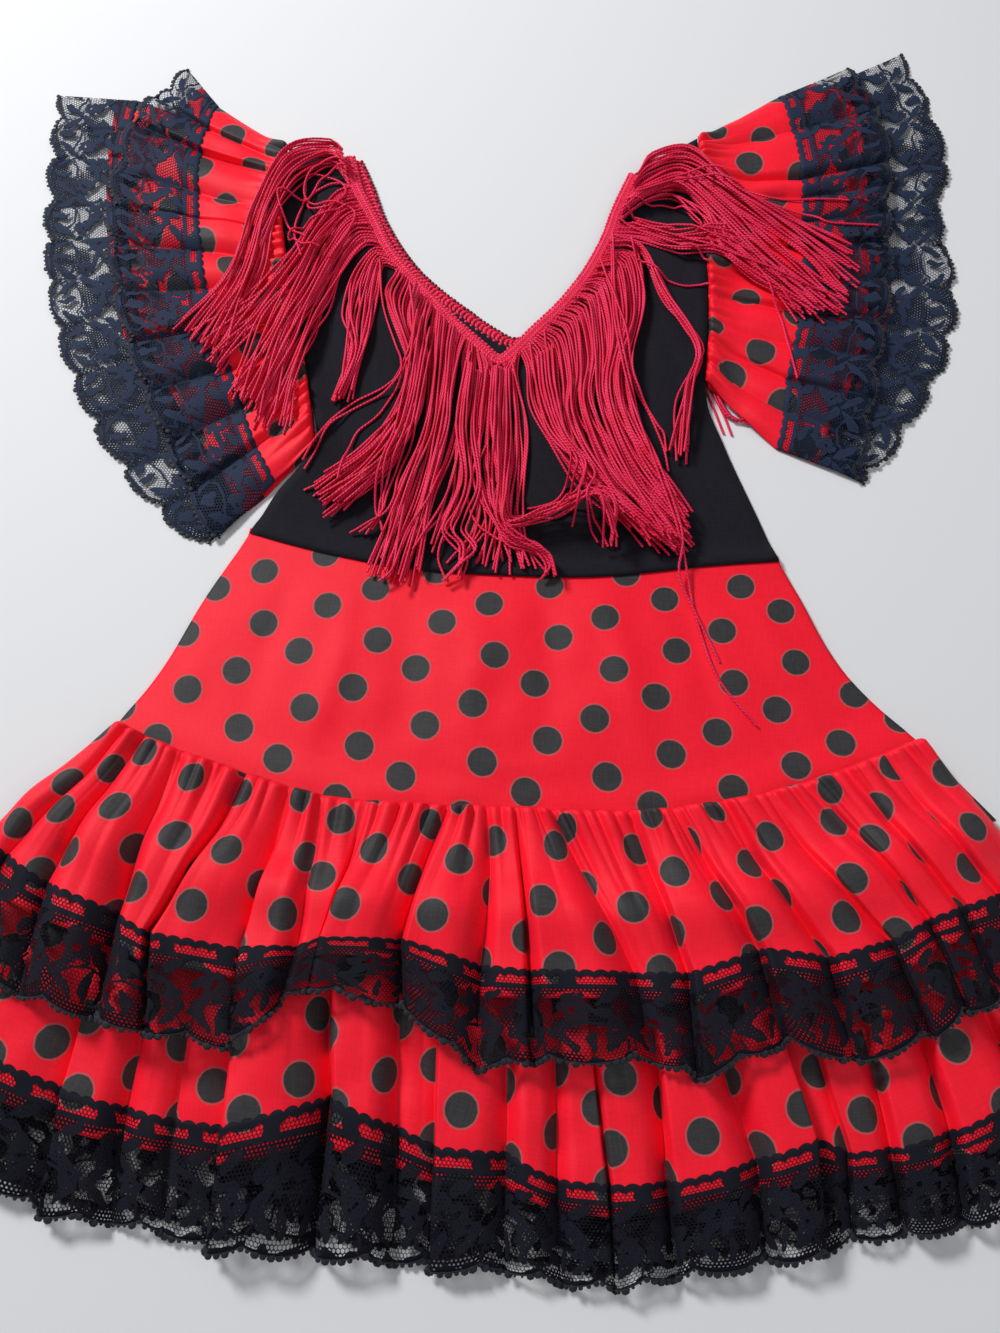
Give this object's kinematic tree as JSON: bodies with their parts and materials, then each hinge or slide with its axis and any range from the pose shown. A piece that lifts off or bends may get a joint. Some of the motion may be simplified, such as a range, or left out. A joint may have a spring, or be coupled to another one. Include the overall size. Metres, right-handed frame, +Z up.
{
  "type": "flamenco dress",
  "caption": "Girl's flamenco dress laid flat: fringed V-neck jersey bodice, dotted skirt, gathered tiers and fluted sleeves edged with lace.",
  "frame": {"origin": "centre of the dress's footprint, on the surface it lies on", "axes": "+Y from the hem to the neck, +X to the viewer's right as the front faces up, +Z up off the surface"},
  "size_m": [0.6664, 0.83, 0.0265],
  "materials": {
    "jersey": "matt black knit",
    "dotted_cotton": "plain weave, bright red with charcoal dots",
    "lace": "black floral net lace with a corded scalloped edge",
    "fringe": "shiny crimson twisted cord and looped braid"
  },
  "bodies": {
    "root": {"bodice_front": "jersey", "bodice_back": "jersey", "skirt_front": "dotted_cotton", "skirt_back": "dotted_cotton", "tier1_front": "dotted_cotton", "tier1_back": "dotted_cotton", "tier2_front": "dotted_cotton", "tier2_back": "dotted_cotton", "tier1_front_lace": "lace", "tier1_back_lace": "lace", "tier2_front_lace": "lace", "tier2_back_lace": "lace", "sleeve_front_left": "dotted_cotton", "sleeve_back_left": "dotted_cotton", "sleeve_front_right": "dotted_cotton", "sleeve_back_right": "dotted_cotton", "sleeve_front_left_lace": "lace", "sleeve_back_left_lace": "lace", "sleeve_front_right_lace": "lace", "sleeve_back_right_lace": "lace", "fringe_front": "fringe", "fringe_back": "fringe"}
  },
  "joints": []
}
